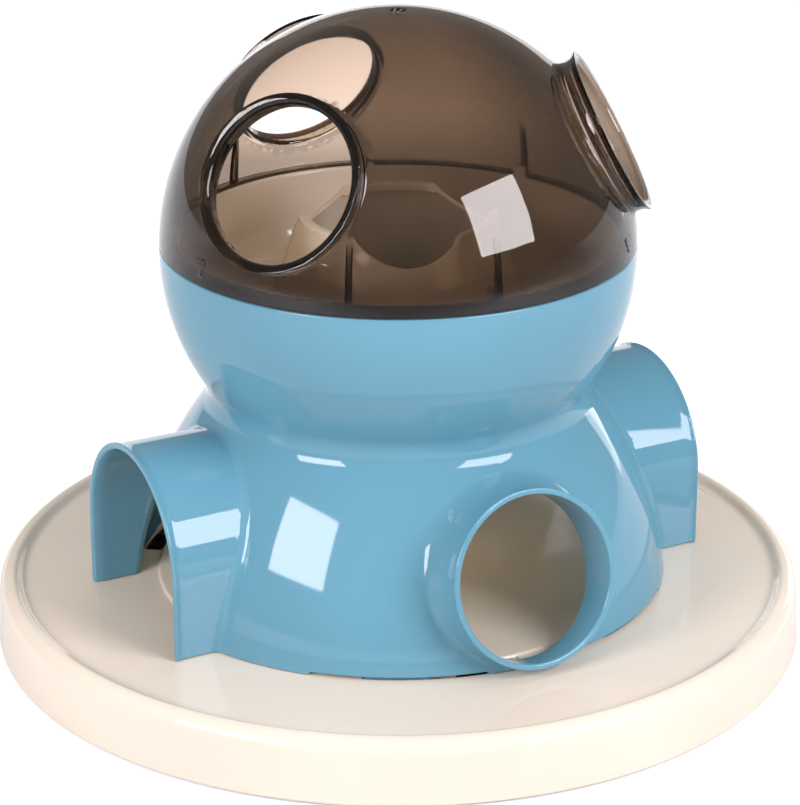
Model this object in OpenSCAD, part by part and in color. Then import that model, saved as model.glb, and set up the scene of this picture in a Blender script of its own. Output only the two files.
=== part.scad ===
// Cat treat dispenser toy: a round base, a ball-and-skirt body with two arch tunnels and two
// round ports, a drop-in treat tray and a smoky dome with three paw ports.
// Millimetres, +Z up, floor at z = 0, one round port faces -Y and the arch tunnels face -X and +X.
// Azimuths are counted from -Y towards +X.

/* [Base] */
// Outer radius of the round base
base_r = 140; // [125:1:165]
// Height of the rim above the floor
rim_z = 23; // [20:0.5:34]
// Width of the rim, from the outside to its inner edge
rim_w = 8; // [7:0.5:12]
// Radius of the rim's outer top edge
rim_round = 5; // [3:0.5:6]
// Depth of the plate below the rim
rim_recess = 2.6; // [1.5:0.1:4]
// How far the skirt leans in from the floor to the rim
skirt_lean = 1; // [0:0.25:2]
// Thickness of the base moulding
base_wall = 2.6; // [2:0.1:3.5]
// Height of the locating disc under the body
disc_h = 0.8; // [0.4:0.1:1.5]
// Thickness of the ribs under the plate
rib_w = 1.8; // [1.2:0.1:3]
// Gap between the ribs and the floor
rib_lift = 5; // [3:0.5:8]
// Radius of the ring rib under the middle of the plate
hub_r = 40; // [30:1:50]

/* [Foot pads] */
// Radius of a rubber foot pad
pad_r = 8; // [6:0.5:10]
// How far the pads stand out below the base
pad_lift = 1; // [0.5:0.1:2]
// Depth of the pad sockets
pad_socket = 2.4; // [1.5:0.1:4]
// Distance of the pads' middles from the outside of the base
pad_inset = 22; // [18:1:26]

/* [Body] */
// Outer radius of the ball
ball_r = 80.5; // [76:0.5:86]
// Height of the ball's centre above the plate
ball_h = 117.6; // [112:0.5:124]
// Height of the seam above the ball's centre
seam_rise = 2; // [0:0.5:4]
// Height of the neck crease above the plate
neck_h = 67.6; // [66:0.5:70]
// Radius of the fillet in the neck crease
neck_round = 6; // [3:0.5:9]
// Outer radius of the skirt at the plate
skirt_r = 93; // [90:0.5:98]
// Radius of the skirt's outward curve
skirt_bulge = 135; // [110:1:180]
// Wall of the body moulding
body_wall = 2.5; // [2:0.1:3]
// Height of the relief gaps in the bottom edge
relief_h = 1.2; // [0.6:0.1:2]
// Depth of the tray shelf below the ball's centre
shelf_drop = 30; // [28.5:0.25:31.5]
// Width of the tray shelf
shelf_w = 10; // [8:0.5:12]

/* [Arch tunnels] */
// Outer width of an arch tunnel
arch_w = 70.4; // [64:0.2:74]
// Height of the arch's crown above the plate
arch_h = 61.8; // [58:0.2:66]
// How far a tunnel's mouth stands out past the foot of the skirt
arch_out = 8; // [4:0.5:16]
// Wall of the tunnel
arch_wall = 2.4; // [1.8:0.1:3]

/* [Round ports] */
// Outer radius of the port's lip
port_r = 29.8; // [27:0.2:31]
// Wall of the port at its lip
port_wall = 2.2; // [1.6:0.1:3]
// Upward tilt of the port
port_tilt = 14.4; // [12:0.2:17]
// How far the lip stands out past the foot of the skirt, along the port
port_out = 4.9; // [3:0.1:10]
// Height above the plate at which the port's axis crosses the middle
port_axis_h = 7.8; // [7:0.1:9]
// Radius of the flare from the port into the body
port_flare = 22; // [18:1:26]
// How far the port's waist lies behind its lip
port_waist = 5; // [3:0.5:7]

/* [Dome] */
// Wall of the dome
dome_wall = 2.3; // [1.8:0.1:2.8]
// Outer radius of a paw port's lip
paw_r = 29.2; // [27:0.2:31]
// Upward tilt of the paw ports
paw_tilt = 28; // [27:0.2:31]
// Distance of the lip from the middle, along the port
paw_reach = 80.8; // [80:0.2:84]
// Height above the ball's centre at which the port's axis crosses the middle
paw_axis_rise = 2.6; // [2:0.1:4]
// Radius of the hollow round the collar
paw_hollow = 6; // [4:0.5:8]
// Width of the lip, from the hole to the outside
paw_lip = 3.6; // [3:0.1:5]
// Height of the dome's plug above the seam
plug_rise = 1.6; // [1.4:0.1:2]
// Depth of the dome's plug below the seam
plug_drop = 7.4; // [7:0.2:9]
// Wall of the plug
plug_wall = 1.7; // [1.4:0.1:2.2]
// Thickness of the ribs above the plug
gusset_w = 1.6; // [1.2:0.1:2.2]
// Height of the ribs above the plug
gusset_h = 24.4; // [20:0.2:26]

/* [Treat tray] */
// Wall of the tray
tray_wall = 2; // [1.6:0.1:2.4]
// Height of the tray's rim above the seam
tray_rise = 3; // [1:0.5:5]
// Radius of the trough's round bottom
trough_r = 16; // [15:0.25:16.5]
// Depth of the middle of that round below the seam
trough_drop = 12; // [10.5:0.25:13]
// Height of the tower above the seam
tower_rise = 9.6; // [8:0.2:11]
// Slope of the tower's side from upright
tower_draft = 17.5; // [16:0.25:19]
// Width of the tower's flat top
tower_lip = 3.4; // [2.6:0.1:3.6]
// Width of the notches in the tower's top
notch_w = 35; // [28:0.5:38]
// Depth of the notches
notch_d = 8.6; // [6:0.2:10]
// Height of the stop tabs on the tray's rim
tab_h = 4; // [2:0.5:6]

/* [Twist locks] */
// Turn that frees the body from the base and the dome from the body
twist = 20; // [15:1:22]
// Width of a hook under the body, as an angle
hook_a = 14; // [10:1:16]
// Thickness of a hook's leg
hook_t = 2.8; // [2.2:0.1:3.2]
// How far a hook's toe reaches inwards
hook_toe = 3.8; // [2.5:0.1:5]
// Height of a hook's toe
toe_h = 2.6; // [2:0.1:3.4]
// Width of a dome lug, as an angle
lug_a = 8; // [5:0.5:10]
// Height of a dome lug
lug_h = 2.2; // [1.6:0.1:3]

/* [Fits] */
// Clearance between pieces that turn on each other
turn_gap = 0.3; // [0.2:0.05:0.5]
// Clearance between flat faces that turn on each other
face_gap = 0.2; // [0.1:0.05:0.3]
// Clearance between the plug and the walls on its two sides
plug_gap = 0.6; // [0.4:0.05:0.8]
// Clearance round a foot pad in its socket
pad_gap = 0.2; // [0.1:0.05:0.4]

/* [Hidden] */
$fn = 96;

cream = [0.89, 0.85, 0.77];
blue = [0.40, 0.66, 0.78];
smoke = [0.24, 0.17, 0.13, 0.6];
rubber = [0.72, 0.70, 0.66];

// Cutters run past the faces that they open by this much, and joined pieces sink in by it
over = 1;

// Heights
plate_z = rim_z - rim_recess;
plate_under = plate_z - base_wall;
body_bottom = plate_z + face_gap;
ball_z = plate_z + ball_h;
seam_z = ball_z + seam_rise;
neck_z = plate_z + neck_h;
shelf_z = ball_z - shelf_drop;

// Radii of the pieces nested in the ball
ball_in = ball_r - body_wall;
plug_out = ball_in - plug_gap;
plug_in = plug_out - plug_wall;
tray_r = plug_in - plug_gap;
lug_in = plug_in + turn_gap;

// The skirt's arc runs from the crease on the ball to the plate
neck_r = sqrt(ball_r * ball_r - (ball_z - neck_z) * (ball_z - neck_z));
skirt_c = arc_centre([neck_r, neck_z], [skirt_r, plate_z], skirt_bulge);
neck_c = touching_centre([0, ball_z], ball_r + neck_round, skirt_c, skirt_bulge + neck_round);

// Hooks and their slots
hook_out = skirt_r - 0.8 * body_wall;
hook_in = hook_out - hook_t;
toe_in = hook_in - hook_toe;
hook_az = [28, -28, 152, 208];
hook_rise = 8;
gap_a = turn_gap / hook_in * 180 / PI;
disc_r = toe_in - 2 * turn_gap;

// Distances of the tunnels' mouths and of the ports' lips from the middle
arch_reach = skirt_r + arch_out;
port_reach = skirt_r + port_out;

// Relief gaps between the feet of the bottom edge
relief_az = [27.8, -27.8, 152.2, 207.8];
relief_a = 36.5;

// Dome lugs and ribs, paw ports, tower notches
lug_az = [0, 120, 240];
lug_z = seam_z - 5.2;
paw_az = [-60, 60, 180];
gusset_az = [-39.5, 80.5, 200.5, -4, 116, 236];
notch_az = [-21.6, 98.4, 218.4];
tab_az = [-4, 116, 236];
tab_w = 5;
apex_r = 2.6;
apex_d = 0.7;

// Foot pads, each on a rib under the base
pad_count = 6;
pad_first = 30;
pad_circle_r = base_r - pad_inset;

// Tray
trough_mid = tray_r - tray_wall - trough_r;
tower_z = seam_z + tower_rise;
tray_rim_z = seam_z + tray_rise;
trough_z = seam_z - trough_drop;
tower_r = trough_mid - (trough_r + (tower_z - trough_z) * sin(tower_draft)) / cos(tower_draft);
foot_in = trough_mid + 0.45 * trough_r;
foot_out = foot_in + 2 * tray_wall;
notch_r = (notch_w * notch_w / 4 + notch_d * notch_d) / (2 * notch_d);

// Centre of the arc of radius r from p up to q that bulges away from the middle
function arc_centre(p, q, r) =
    let (m = (p + q) / 2, h = (q - p) / 2, l = norm(h), s = sqrt(r * r - l * l))
    m + s * [h[1], -h[0]] / l;

// Outer of the two points that lie at distance ra from a and rb from b
function touching_centre(a, ra, b, rb) =
    let (d = norm(b - a), u = (b - a) / d, x = (d * d + ra * ra - rb * rb) / (2 * d))
    a + x * u + sqrt(ra * ra - x * x) * [-u[1], u[0]];

// Point at distance r from a on the way to b
function toward(a, b, r) = a + r * (b - a) / norm(b - a);

// Radius of the tower's side at height z, moved in by inset
function tower_side(z, inset) =
    tower_r + (tower_z - z) * tan(tower_draft) - inset / cos(tower_draft);

// Turns a child drawn towards -Y to an azimuth
module at_az(a) {
    rotate([0, 0, a]) children();
}

// Sector of a ring, its middle at an azimuth
module ring_sector(r1, r2, z1, z2, mid_az, angle) {
    rotate([0, 0, mid_az - 90 - angle / 2])
        rotate_extrude(angle = angle)
            translate([r1, z1])
                square([r2 - r1, z2 - z1]);
}

// Puts a revolved child, drawn along +Z, on a tilted axis that starts at height z and faces -Y
module on_axis(z, tilt) {
    translate([0, 0, z])
        rotate([90 - tilt, 0, 0])
            children();
}

// Half profile of the body's ball, neck and skirt, moved in by inset
module body_profile(inset) {
    t1 = toward([0, ball_z], neck_c, ball_r - inset);
    t2 = toward(skirt_c, neck_c, skirt_bulge - inset);
    intersection() {
        square([2 * skirt_r, ball_z + ball_r]);
        union() {
            translate([0, ball_z])
                circle(r = ball_r - inset);
            translate(skirt_c)
                circle(r = skirt_bulge - inset);
            difference() {
                polygon([t1, neck_c, t2, [neck_r - 3 * neck_round, neck_z]]);
                translate(neck_c)
                    circle(r = neck_round + inset);
            }
        }
    }
}

// Arch outline moved in by inset, from below the plate up to the crown
module arch_outline(inset) {
    half = arch_w / 2 - inset;
    crown = arch_h - arch_w / 2;
    translate([0, plate_z + crown])
        circle(r = half);
    translate([-half, 0])
        square([2 * half, plate_z + crown]);
}

// Both arch tunnels in one run from mouth to mouth
module arch_run(inset, reach) {
    rotate([90, 0, 90])
        translate([0, 0, -reach])
            linear_extrude(height = 2 * reach)
                arch_outline(inset);
}

// Round port: a collar that flares into the body
module port_collar() {
    waist_r = port_r - port_waist * port_waist / (2 * port_flare);
    rotate_extrude()
        difference() {
            translate([0, ball_r / 2])
                square([port_r + port_waist, port_reach - ball_r / 2]);
            translate([waist_r + port_flare, port_reach - port_waist])
                circle(r = port_flare);
            translate([port_r, port_reach - port_waist / 2])
                square([2 * port_waist, port_waist]);
        }
}

module port_bore() {
    translate([0, 0, ball_r / 2])
        cylinder(r = port_r - port_wall, h = port_reach);
}

// Paw port: a short collar with a hollow behind its lip
module paw_collar() {
    hollow_c = [paw_r + 0.75 * paw_hollow, paw_reach - 0.75 * paw_hollow];
    rotate_extrude()
        difference() {
            translate([0, ball_r / 2])
                square([paw_r, paw_reach - ball_r / 2]);
            translate(hollow_c)
                circle(r = paw_hollow);
        }
}

// Hole of a paw port, its mouth rounded over most of the lip
module paw_bore() {
    bore_r = paw_r - paw_lip;
    mouth_round = 0.85 * paw_lip;
    rotate_extrude() {
        translate([0, ball_r / 2])
            square([bore_r, paw_reach]);
        difference() {
            translate([bore_r - over, paw_reach - mouth_round])
                square([mouth_round + over, mouth_round + over]);
            translate([bore_r + mouth_round, paw_reach - mouth_round])
                circle(r = mouth_round);
        }
    }
}

// Trough and tower side of the tray's half profile, moved out by grow and open to the top
module trough_profile(grow, tower_top, rim_top) {
    r = trough_r + grow;
    union() {
        translate([trough_mid, trough_z])
            circle(r = r);
        polygon([
            [tower_side(tower_top, grow), tower_top],
            [trough_mid - r * cos(tower_draft), trough_z - r * sin(tower_draft)],
            [trough_mid, trough_z],
            [trough_mid + r, trough_z],
            [trough_mid + r, rim_top],
            [trough_mid, rim_top],
            [trough_mid, tower_top]
        ]);
    }
}

// Half profile of the base moulding, open underneath
module base_profile() {
    rim_in = base_r - rim_w;
    lean_r = base_r - skirt_lean;
    fillet = rim_recess;
    difference() {
        union() {
            polygon([[0, pad_lift], [base_r, pad_lift], [lean_r, rim_z - rim_round], [0, rim_z - rim_round]]);
            square([lean_r - rim_round, rim_z]);
            translate([lean_r - rim_round, rim_z - rim_round])
                circle(r = rim_round);
        }
        translate([0, plate_z])
            square([rim_in - fillet, rim_recess + over]);
        translate([rim_in - fillet, rim_z])
            circle(r = fillet);
        polygon([
            [0, 0],
            [base_r - base_wall, 0],
            [lean_r - base_wall, plate_under - base_wall],
            [lean_r - 2 * base_wall, plate_under],
            [0, plate_under]
        ]);
        square([base_r, pad_lift]);
    }
    translate([0, plate_z - base_wall / 2])
        square([disc_r, base_wall / 2 + disc_h]);
}

// Ring and radial ribs under the plate, cut away where the hooks turn
module base_ribs() {
    rib_top = plate_under + base_wall / 2;
    rib_out = base_r - 1.5 * base_wall;
    difference() {
        union() {
            translate([0, 0, rib_lift])
                difference() {
                    cylinder(r = hub_r + rib_w / 2, h = rib_top - rib_lift);
                    translate([0, 0, -over])
                        cylinder(r = hub_r - rib_w / 2, h = rib_top - rib_lift + 2 * over);
                }
            for (i = [0 : pad_count - 1])
                pad_place(i)
                    translate([-rib_w / 2, pad_circle_r - rib_out, rib_lift + over])
                        cube([rib_w, rib_out - hub_r, rib_top - rib_lift - over]);
        }
        ring_sector(toe_in - 2 * over, hook_out + 2 * over, plate_under - 2 * toe_h, rib_top + over, 0, 360);
        for (i = [0 : pad_count - 1])
            pad_place(i)
                cylinder(r = pad_r + pad_gap, h = rib_top);
    }
}

module pad_place(i) {
    at_az(pad_first + i * 360 / pad_count)
        translate([0, -pad_circle_r, 0])
            children();
}

// Cup under the plate that holds a foot pad
module pad_cup() {
    socket_r = pad_r + pad_gap;
    socket_top = pad_lift + pad_socket;
    difference() {
        translate([0, 0, pad_lift])
            cylinder(r = socket_r + base_wall, h = plate_under + base_wall / 2 - pad_lift);
        cylinder(r = socket_r, h = socket_top);
        translate([0, 0, socket_top + base_wall])
            cylinder(r = socket_r, h = plate_under);
    }
}

// Slot for a hook: wide where the toe drops in, narrow where it locks
module hook_slot(az) {
    ring_sector(hook_in - turn_gap, hook_out + turn_gap, plate_under - over, plate_z + over,
                az + twist / 2, hook_a + twist + 2 * gap_a);
    ring_sector(toe_in - turn_gap, hook_out - hook_t / 2, plate_under - over, plate_z + over,
                az + twist, hook_a + 6 * gap_a);
}

// Hook under the body's skirt
module hook(az) {
    toe_top = plate_under - turn_gap;
    ring_sector(hook_in, hook_out, toe_top - toe_h, plate_z + hook_rise, az, hook_a);
    ring_sector(toe_in, hook_out, toe_top - toe_h, toe_top, az, hook_a);
}

module base_plate() {
    color(cream)
        difference() {
            union() {
                rotate_extrude() base_profile();
                base_ribs();
                for (i = [0 : pad_count - 1])
                    pad_place(i) pad_cup();
            }
            for (a = hook_az)
                hook_slot(a);
        }
}

module foot_pad(i) {
    color(rubber)
        pad_place(i)
            cylinder(r = pad_r, h = pad_lift + pad_socket);
}

module body_shell() {
    color(blue) {
        difference() {
            union() {
                rotate_extrude() body_profile(0);
                arch_run(0, arch_reach);
                for (a = [0, 180])
                    at_az(a)
                        on_axis(plate_z + port_axis_h, port_tilt) port_collar();
            }
            rotate_extrude() body_profile(body_wall);
            arch_run(arch_wall, arch_reach + over);
            for (a = [0, 180])
                at_az(a)
                    on_axis(plate_z + port_axis_h, port_tilt) port_bore();
            translate([0, 0, seam_z])
                cylinder(r = 2 * ball_r, h = 2 * ball_r);
            translate([0, 0, body_bottom - base_r])
                cylinder(r = 2 * base_r, h = base_r);
            for (a = relief_az)
                ring_sector(skirt_r - 3 * body_wall, skirt_r + body_wall, 0, plate_z + relief_h, a, relief_a);
        }
        tray_shelf();
        for (a = lug_az)
            ring_sector(lug_in, ball_in + body_wall / 2, lug_z, lug_z + lug_h, a, lug_a);
        for (a = hook_az)
            hook(a);
    }
}

// Ring inside the ball that the tray stands on
module tray_shelf() {
    shelf_r = sqrt(ball_in * ball_in - (ball_z - shelf_z) * (ball_z - shelf_z));
    rotate_extrude()
        intersection() {
            translate([shelf_r - shelf_w, shelf_z - body_wall])
                square([shelf_w + body_wall, body_wall]);
            body_profile(body_wall / 2);
        }
}

module treat_tray() {
    color(cream) {
        difference() {
            rotate_extrude()
                difference() {
                    union() {
                        trough_profile(tray_wall, tower_z, tray_rim_z);
                        translate([foot_in, shelf_z])
                            square([foot_out - foot_in, trough_z - shelf_z]);
                        translate([tower_r - tower_lip, tower_z - 0.8 * tower_lip])
                            square([tower_lip, 0.8 * tower_lip]);
                    }
                    trough_profile(0, tower_z + notch_r, tower_z + notch_r);
                }
            for (a = notch_az)
                at_az(a)
                    translate([0, 0, tower_z - notch_d + notch_r])
                        rotate([90, 0, 0])
                            cylinder(r = notch_r, h = tower_r + notch_d);
        }
        for (a = tab_az)
            at_az(a)
                translate([-tab_w / 2, -tray_r + 0.15 * tray_wall, tray_rim_z - over])
                    cube([tab_w, 0.8 * tray_wall, tab_h + over]);
    }
}

// Ring that reaches down into the ball, slotted for the lugs
module dome_plug() {
    lug_gap = turn_gap / lug_in * 180 / PI;
    difference() {
        rotate_extrude() {
            translate([plug_in, seam_z - plug_drop])
                square([plug_wall, plug_drop + plug_rise]);
            intersection() {
                translate([plug_in, seam_z + face_gap])
                    square([ball_r - plug_in, plug_rise - face_gap]);
                translate([0, ball_z])
                    circle(r = ball_r - dome_wall / 2);
            }
        }
        for (a = lug_az) {
            ring_sector(plug_in - over, plug_out + turn_gap, lug_z - turn_gap, lug_z + lug_h + turn_gap,
                        a - twist / 2, lug_a + twist + 2 * lug_gap);
            ring_sector(plug_in - over, plug_out + turn_gap, seam_z - plug_drop - over, lug_z + lug_h,
                        a - twist, lug_a + 2 * lug_gap);
        }
    }
}

// Thin rib from the plug's top up the inside of the dome
module gusset() {
    mid_r = ball_r - dome_wall / 2;
    foot = [plug_in, seam_z + plug_rise];
    top_z = foot[1] + gusset_h;
    top = [sqrt(mid_r * mid_r - (top_z - ball_z) * (top_z - ball_z)), top_z];
    tip = foot + 1.2 * (top - foot);
    translate([-gusset_w / 2, 0, 0])
        rotate([90, 0, -90])
            mirror([0, 0, 1])
                linear_extrude(height = gusset_w)
                    intersection() {
                        translate([0, ball_z])
                            circle(r = mid_r);
                        polygon([
                            foot - [0, plug_rise / 2],
                            [ball_r, foot[1] - plug_rise / 2],
                            [ball_r, tip[1]],
                            tip,
                            foot
                        ]);
                    }
}

module dome() {
    color(smoke) {
        difference() {
            union() {
                translate([0, 0, ball_z])
                    sphere(r = ball_r);
                for (a = paw_az)
                    at_az(a)
                        on_axis(ball_z + paw_axis_rise, paw_tilt) paw_collar();
            }
            translate([0, 0, ball_z])
                sphere(r = ball_r - dome_wall);
            for (a = paw_az)
                at_az(a)
                    on_axis(ball_z + paw_axis_rise, paw_tilt) paw_bore();
            translate([0, 0, seam_z + face_gap - 2 * ball_r])
                cylinder(r = 2 * ball_r, h = 2 * ball_r);
            translate([0, 0, ball_z + ball_r - apex_d])
                cylinder(r = apex_r, h = over);
        }
        dome_plug();
        for (a = gusset_az)
            at_az(a) gusset();
    }
}

base_plate();
foot_pad(0);  // foot_pad_1
foot_pad(1);  // foot_pad_2
foot_pad(2);  // foot_pad_3
foot_pad(3);  // foot_pad_4
foot_pad(4);  // foot_pad_5
foot_pad(5);  // foot_pad_6
body_shell();
treat_tray();
dome();
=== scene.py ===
"""Cat treat dispenser toy: base, body, treat tray, smoky dome and foot pads, with a studio stage.

Every moulding is written as a distance field in millimetres, skinned into one closed mesh and laid
over the solid that it stands for. Azimuths are counted from -Y towards +X.
"""

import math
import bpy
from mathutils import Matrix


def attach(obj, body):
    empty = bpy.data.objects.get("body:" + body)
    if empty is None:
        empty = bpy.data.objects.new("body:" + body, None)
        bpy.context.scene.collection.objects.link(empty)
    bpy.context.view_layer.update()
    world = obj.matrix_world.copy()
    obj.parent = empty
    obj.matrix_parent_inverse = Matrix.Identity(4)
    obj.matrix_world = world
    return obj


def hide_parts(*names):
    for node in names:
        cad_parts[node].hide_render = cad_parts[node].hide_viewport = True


bl_info = {
    "name": "Cat Treat Dispenser",
    "version": (1, 0, 0),
    "blender": (4, 5, 0),
    "location": "3D View > Sidebar > Treat Toy",
    "description": "Builds a cat treat dispenser toy and the stage that it stands on",
    "category": "Object",
}

import bpy
import numpy as np
from bpy.props import FloatProperty, FloatVectorProperty, IntProperty, PointerProperty
from mathutils import Vector

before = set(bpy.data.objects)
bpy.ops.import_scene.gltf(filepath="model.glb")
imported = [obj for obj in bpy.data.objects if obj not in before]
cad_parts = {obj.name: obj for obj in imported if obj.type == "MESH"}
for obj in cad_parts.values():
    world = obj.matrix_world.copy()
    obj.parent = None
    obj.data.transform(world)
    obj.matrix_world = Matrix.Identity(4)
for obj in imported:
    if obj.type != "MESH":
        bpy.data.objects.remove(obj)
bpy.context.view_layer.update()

MM = 0.001

BLOCK = 8
BATCH = 1500
# Probe for a field's slope and for its normals, least slope that counts, and furthest shift after thinning
SLOPE_PROBE = 0.02
NORMAL_PROBE = 0.08
LEAST_SLOPE = 0.05
THIN_SHIFT = 0.1
# A skin's edges are split where it turns by more than so many radians over more than so many millimetres:
# at sharp edges, then beside fillets, then on the tunnels, where long triangles would tear the reflections.
EDGE_TURN = 0.45
EDGE_LEAST = 0.5
EDGE_ROUNDS = 2
SOFT_TURN = 0.04
SOFT_LEAST = 3.0
SOFT_ROUNDS = 5
FINE_TURN = 0.015
FINE_LEAST = 1.5
FINE_ROUNDS = 3
# Points closer than the gap are one point
JOIN_GAP = 0.001
MEND_ROUNDS = 12
CORNERS = np.array([(i, j, k) for i in (0, 1) for j in (0, 1) for k in (0, 1)])
CELL_EDGES = [(a, b) for a in range(8) for b in range(a + 1, 8)
              if np.abs(CORNERS[a] - CORNERS[b]).sum() == 1]
TETRA = np.array([(1, -1, -1), (-1, -1, 1), (-1, 1, -1), (1, 1, 1)], float)


def length(name, description, default):
    """Length property, in metres"""
    return FloatProperty(name=name, description=description, default=default * MM,
                         unit="LENGTH", precision=5)


def angle(name, description, default):
    """Angle property, from degrees"""
    return FloatProperty(name=name, description=description, default=math.radians(default),
                         unit="ROTATION")


def share(name, description, default):
    """Plain factor"""
    return FloatProperty(name=name, description=description, default=default, precision=3)


def colour(name, description, default):
    """Linear colour"""
    return FloatVectorProperty(name=name, description=description, default=default,
                               subtype="COLOR", size=3, min=0.0, max=1.0)


class ToySizes(bpy.types.PropertyGroup):
    """Sizes of the toy's mouldings"""
    base_r: length("Base radius", "Outer radius of the round base", 140)
    rim_z: length("Rim height", "Height of the rim above the floor", 23)
    rim_w: length("Rim width", "Width of the rim, from the outside to its inner edge", 8)
    rim_round: length("Rim rounding", "Radius of the rim's outer top edge", 5)
    rim_recess: length("Plate depth", "Depth of the plate below the rim", 2.6)
    skirt_lean: length("Base lean", "How far the base's side leans in up to the rim", 1)
    base_wall: length("Base wall", "Thickness of the base moulding", 2.6)
    disc_h: length("Disc height", "Height of the locating disc under the body", 0.8)
    rib_w: length("Rib thickness", "Thickness of the ribs under the plate", 1.8)
    rib_lift: length("Rib gap", "Gap between the ribs and the floor", 5)
    hub_r: length("Hub radius", "Radius of the ring rib under the plate", 40)
    pad_r: length("Pad radius", "Radius of a rubber foot pad", 8)
    pad_lift: length("Pad lift", "How far the pads stand out below the base", 1)
    pad_socket: length("Socket depth", "Depth of the pad sockets", 2.4)
    pad_circle: length("Pad circle", "Radius of the circle of foot pads", 118)
    ball_r: length("Ball radius", "Outer radius of the ball", 80.5)
    ball_z: length("Ball height", "Height of the ball's centre", 138)
    seam_z: length("Seam height", "Height of the seam between body and dome", 140)
    neck_z: length("Neck height", "Height of the neck crease", 88)
    neck_round: length("Neck fillet", "Radius of the fillet in the neck crease", 6.5)
    skirt_r: length("Skirt radius", "Outer radius of the skirt at the plate", 93)
    skirt_bulge: length("Skirt curve", "Radius of the skirt's outward curve", 135)
    body_wall: length("Body wall", "Wall of the body moulding", 2.5)
    relief_h: length("Relief height", "Height of the relief gaps in the bottom edge", 1.2)
    arch_w: length("Arch width", "Outer width of an arch tunnel", 70.4)
    arch_h: length("Arch height", "Height of the arch's crown above the plate", 61.8)
    arch_reach: length("Arch reach", "Distance of the tunnel's mouth from the middle", 101)
    arch_wall: length("Arch wall", "Wall of the tunnel", 2.4)
    arch_root: length("Arch fillet", "Fillet where a tunnel leaves the body", 1.8)
    arch_bead: length("Arch bead", "How far a tunnel's mouth flares outwards", 0.9)
    port_r: length("Port radius", "Outer radius of a round port's lip", 29.8)
    port_wall: length("Port wall", "Wall of a round port at its lip", 2.2)
    port_reach: length("Port reach", "Distance of the lip from the middle, along the port", 97.9)
    port_axis_z: length("Port axis", "Height at which a port's axis crosses the middle", 28.2)
    port_tilt: angle("Port tilt", "Upward tilt of a round port", 14.4)
    port_flare: length("Port flare", "Radius of the flare into the body", 22)
    port_waist: length("Port waist", "How far a port's waist lies behind its lip", 5)
    port_root: length("Port fillet", "Fillet where a port's flare meets the body", 1.2)
    dome_wall: length("Dome wall", "Wall of the dome", 1.9)
    paw_r: length("Paw port radius", "Outer radius of a paw port's lip", 29.2)
    paw_reach: length("Paw port reach", "Distance of a paw port's lip from the middle", 80.8)
    paw_axis_z: length("Paw port axis", "Height at which a paw port's axis crosses the middle", 140.6)
    paw_tilt: angle("Paw port tilt", "Upward tilt of a paw port", 28)
    paw_hollow: length("Collar hollow", "Radius of the hollow round a paw port's collar", 6)
    paw_lip: length("Lip width", "Width of a paw port's lip", 3.6)
    plug_rise: length("Plug rise", "Height of the dome's plug above the seam", 3.6)
    plug_drop: length("Plug depth", "Depth of the dome's plug below the seam", 7.4)
    plug_wall: length("Plug wall", "Wall of the plug", 1.7)
    gusset_w: length("Gusset thickness", "Thickness of the ribs above the plug", 1.6)
    gusset_h: length("Gusset height", "Height of the ribs above the plug", 22.4)
    tray_wall: length("Tray wall", "Wall of the tray", 2)
    tray_rim_z: length("Tray rim", "Height of the tray's rim", 143)
    trough_r: length("Trough radius", "Radius of the trough's round bottom", 16)
    trough_z: length("Trough height", "Height of the middle of that round", 128)
    tower_z: length("Tower height", "Height of the tray's tower", 149.6)
    tower_draft: angle("Tower draft", "Slope of the tower's side from upright", 17.5)
    tower_lip: length("Tower rim", "Width of the tower's flat top", 3.4)
    notch_w: length("Notch width", "Width of the notches in the tower's top", 35)
    notch_d: length("Notch depth", "Depth of the notches", 8.6)
    shelf_z: length("Shelf height", "Height of the shelf that the tray stands on", 108)
    shelf_w: length("Shelf width", "Width of the shelf", 10)
    twist: angle("Twist", "Turn that frees the twist locks", 20)
    turn_gap: length("Turning clearance", "Clearance between pieces that turn on each other", 0.3)
    face_gap: length("Face clearance", "Clearance between flat faces that turn", 0.2)
    plug_gap: length("Plug clearance", "Clearance on the two sides of the plug", 0.6)
    pad_gap: length("Pad clearance", "Clearance round a foot pad", 0.2)


class ToyLooks(bpy.types.PropertyGroup):
    """Finishes of the toy's materials, and the mesh budget"""
    cream: colour("Cream", "Cream plastic", (0.715, 0.642, 0.550))
    blue: colour("Blue", "Blue plastic", (0.112, 0.284, 0.390))
    smoke: colour("Smoke", "Tint of the light that the smoky plastic lets through", (0.296, 0.187, 0.065))
    smoke_density: share("Smoke density", "Absorption of the smoky plastic, per metre", 1100.0)
    rubber: colour("Rubber", "Rubber of the foot pads", (0.30, 0.285, 0.26))
    floor: colour("Floor", "Pale studio floor", (0.64, 0.64, 0.64))
    cream_rough: share("Cream roughness", "Roughness of the cream plastic", 0.10)
    cream_gloss: share("Cream gloss", "Strength of the cream plastic's reflections", 0.5)
    blue_gloss: share("Blue gloss", "Strength of the blue plastic's reflections", 0.4)
    blue_rough: share("Blue roughness", "Roughness of the blue plastic", 0.05)
    smoke_rough: share("Smoke roughness", "Roughness of the smoky plastic", 0.03)
    step: length("Mesh step", "Grid step of the skins", 0.8)
    body_faces: IntProperty(name="Body faces", default=64000,
                            description="Triangles of the body before it is refined")
    dome_faces: IntProperty(name="Dome faces", default=80000,
                            description="Triangles of the dome before it is refined")
    tray_faces: IntProperty(name="Tray faces", default=40000,
                            description="Triangles of the tray before it is refined")
    base_faces: IntProperty(name="Base faces", default=40000,
                            description="Triangles of the base before it is refined")


class Millimetres:
    """Sizes of a property group with its lengths in millimetres"""

    def __init__(self, group):
        for prop in group.bl_rna.properties:
            if prop.identifier in {"rna_type", "name"}:
                continue
            value = getattr(group, prop.identifier)
            if getattr(prop, "unit", "NONE") == "LENGTH":
                value /= MM
            setattr(self, prop.identifier, value)


def mesh_step(context):
    return context.scene.treat_toy_looks.step / MM * 1


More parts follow.
